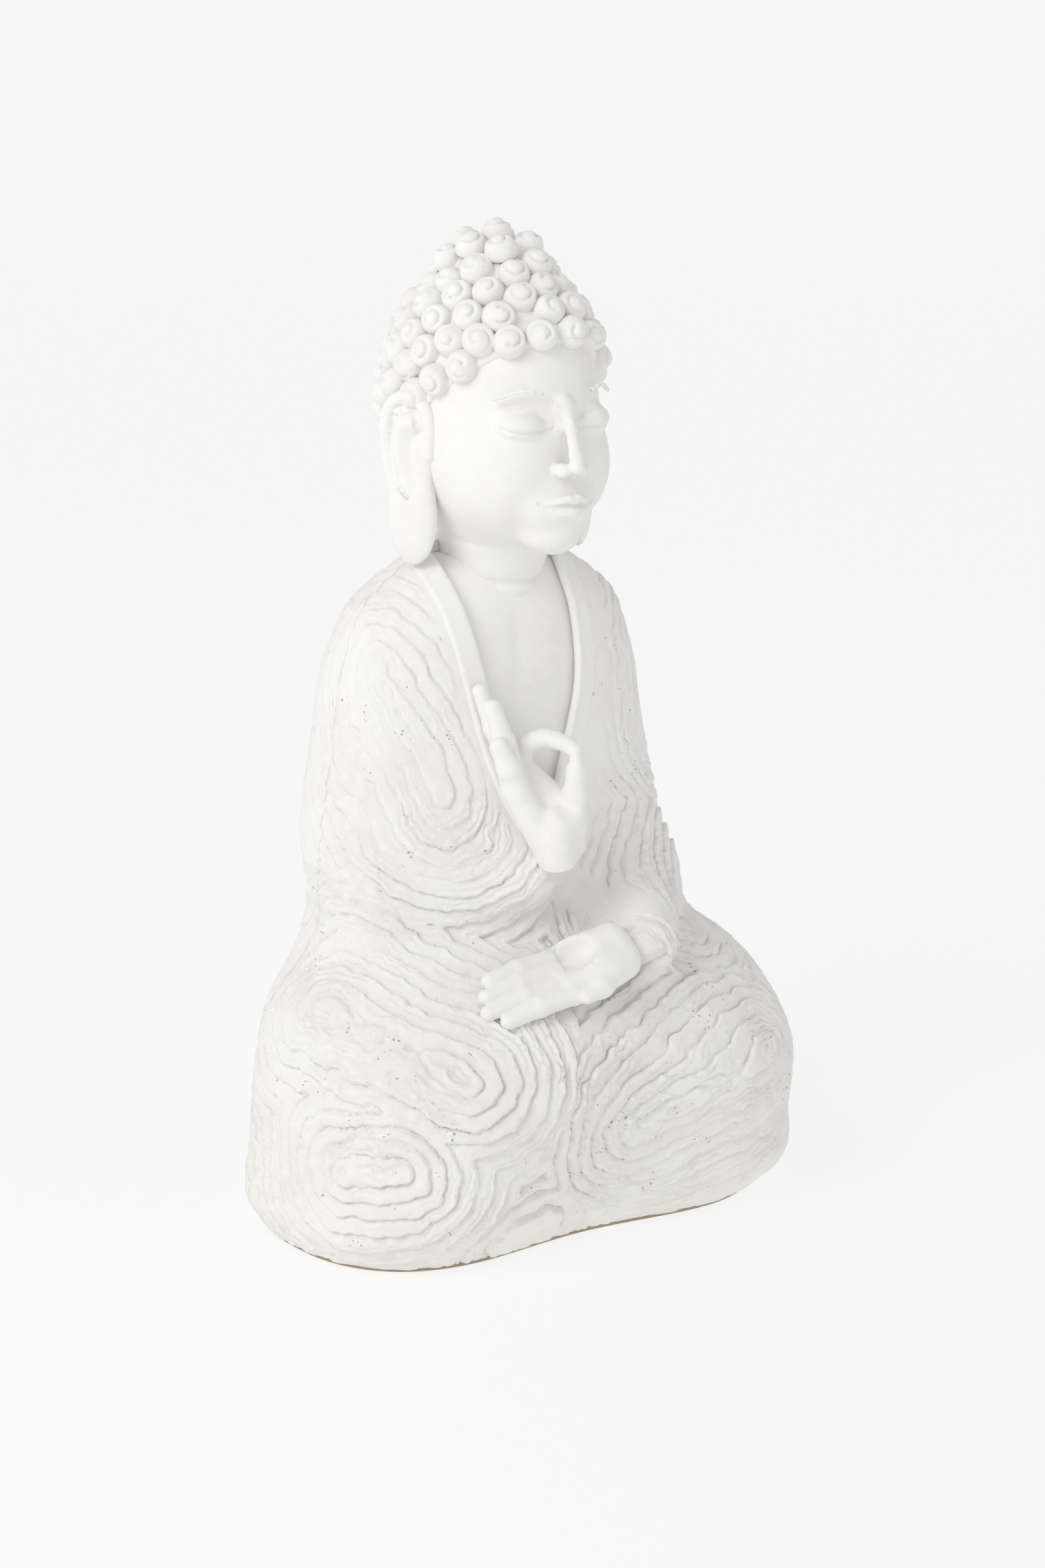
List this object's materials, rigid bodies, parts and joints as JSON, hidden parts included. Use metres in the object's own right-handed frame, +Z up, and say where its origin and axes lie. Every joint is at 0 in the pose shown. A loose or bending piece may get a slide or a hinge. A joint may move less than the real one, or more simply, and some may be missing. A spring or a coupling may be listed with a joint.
{
  "type": "buddha statue",
  "caption": "Seated Buddha statue in matt white cast stone, one hand raised and one palm up on the lap, with a robe textured like wood grain; stands on a flat padded base.",
  "frame": {"origin": "middle of the bounding box in X and Y, at the underside of the base pad", "axes": "+Z up along the statue's height, the statue faces -Y, its right side is -X"},
  "size_m": [0.2842, 0.2023, 0.4944],
  "materials": {
    "robe_stone": "matt",
    "smooth_stone": "matt",
    "hair_stone": "matt",
    "raw_stone": "rough",
    "steel": "satin",
    "glass_mesh": "woven",
    "plug_rubber": "matt",
    "pad_felt": "felt"
  },
  "bodies": {
    "root": {"robe_front_shell": "robe_stone", "robe_back_shell": "robe_stone", "chest_panel": "smooth_stone", "robe_border_right": "smooth_stone", "robe_border_left": "smooth_stone", "head_shell": "smooth_stone", "hair_cap": "hair_stone", "hair_curls": "hair_stone", "ear_right": "smooth_stone", "ear_left": "smooth_stone", "right_hand": "smooth_stone", "left_hand": "smooth_stone", "right_wrist_pin": "steel", "left_wrist_pin": "steel", "neck_rod": "steel", "seam_strip_right": "glass_mesh", "seam_strip_left": "glass_mesh", "base_plate": "raw_stone", "vent_plug": "plug_rubber", "base_pad": "pad_felt"}
  },
  "joints": []
}
